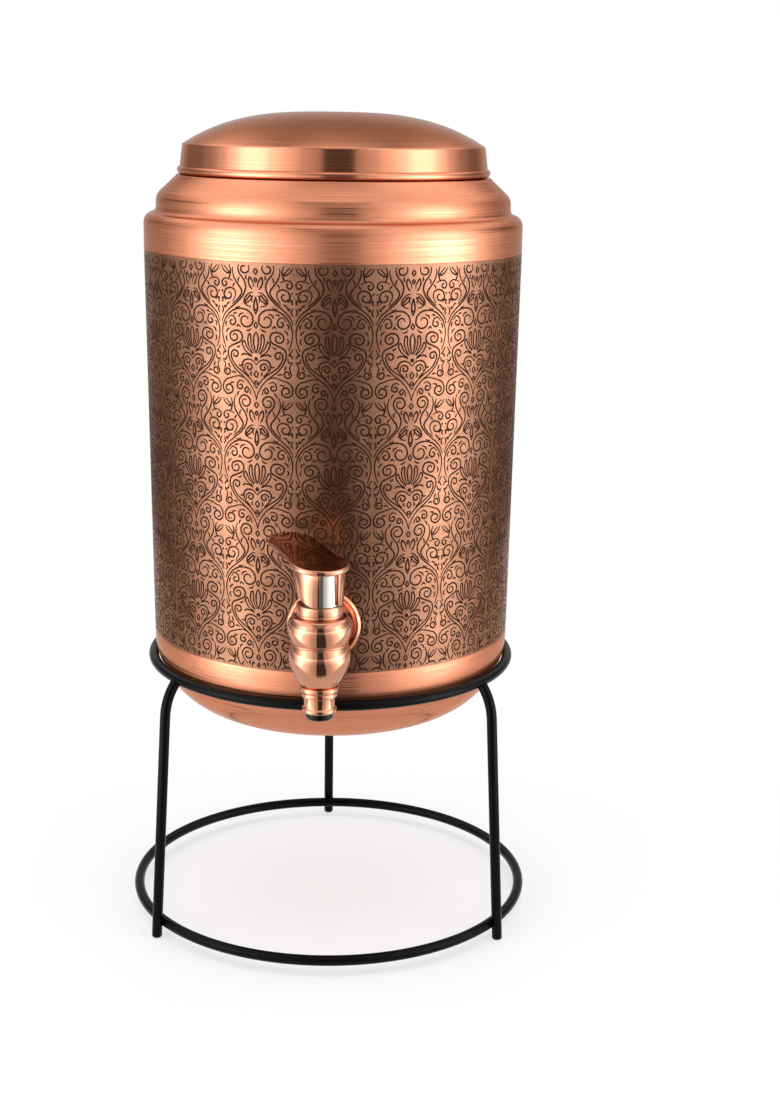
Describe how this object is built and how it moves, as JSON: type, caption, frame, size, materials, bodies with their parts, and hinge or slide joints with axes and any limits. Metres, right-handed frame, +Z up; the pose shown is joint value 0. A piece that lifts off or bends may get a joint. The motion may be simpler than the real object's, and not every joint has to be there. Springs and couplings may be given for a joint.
{
  "type": "copper water dispenser",
  "caption": "Cylindrical embossed copper water dispenser with a cap lid and a swivelling lever tap, resting in a black wire stand.",
  "frame": {"origin": "on the floor, under the vessel's axis, at the centre of the stand's feet", "axes": "+Z up along the vessel's axis, -Y out of the front, where the tap is, +X to the right seen from the front"},
  "size_m": [0.2022, 0.2535, 0.3953],
  "materials": {
    "stand_wire": "semi-gloss black powder coat",
    "satin_copper": "satin brushed copper",
    "antique_copper": "embossed copper with a dark patina",
    "polished_copper": "mirror-polished copper plate",
    "chrome": "bright chrome plate",
    "steel": "plain stainless steel",
    "rubber": "black rubber",
    "black_plastic": "black moulded plastic"
  },
  "bodies": {
    "stand": {"upper_ring": "stand_wire", "base_ring": "stand_wire", "leg_rear": "stand_wire", "leg_left": "stand_wire", "leg_right": "stand_wire"},
    "vessel": {"vessel_base": "satin_copper", "embossed_sleeve": "antique_copper", "vessel_shoulder": "satin_copper", "tap_body": "polished_copper", "tap_flange": "polished_copper", "inlet_shank": "steel", "outer_gasket": "rubber", "inner_gasket": "rubber", "lock_nut": "steel", "bonnet": "polished_copper", "outlet_insert": "black_plastic"},
    "lid": {"lid_cap": "satin_copper"},
    "post": {"lever_post": "chrome", "retaining_clip": "steel", "post_seal": "rubber", "stem_seal": "rubber", "return_spring": "steel"},
    "stem": {"valve_stem": "steel", "valve_plug": "rubber"},
    "lever": {"lever": "polished_copper", "lever_pin": "steel", "lift_cam": "steel"}
  },
  "joints": [
    {"name": "vessel_lift", "type": "slide", "parent": "stand", "child": "vessel", "axis": [0, 0, 1], "range_m": [0, 0.12]},
    {"name": "lid_lift", "type": "slide", "parent": "vessel", "child": "lid", "axis": [0, 0, 1], "range_m": [0, 0.1]},
    {"name": "lever_swivel", "type": "hinge", "parent": "vessel", "child": "post", "pos_m": [0, -0.13439, 0.19223], "axis": [0, 0, 1], "continuous": true},
    {"name": "stem_lift", "type": "slide", "parent": "post", "child": "stem", "axis": [0, 0, 1], "range_m": [0, 0.0023], "deforming": ["return_spring"]},
    {"name": "lever_press", "type": "hinge", "parent": "post", "child": "lever", "pos_m": [0, -0.13439, 0.20103], "axis": [-0.8949, -0.4462, 0], "range_deg": [0, 25], "stiffness_Nm_per_rad": 0.15, "springref_deg": -34.38}
  ],
  "couplings": [
    {"joint": "stem_lift", "follows": "lever_press", "m_per_rad": 0.0052}
  ]
}
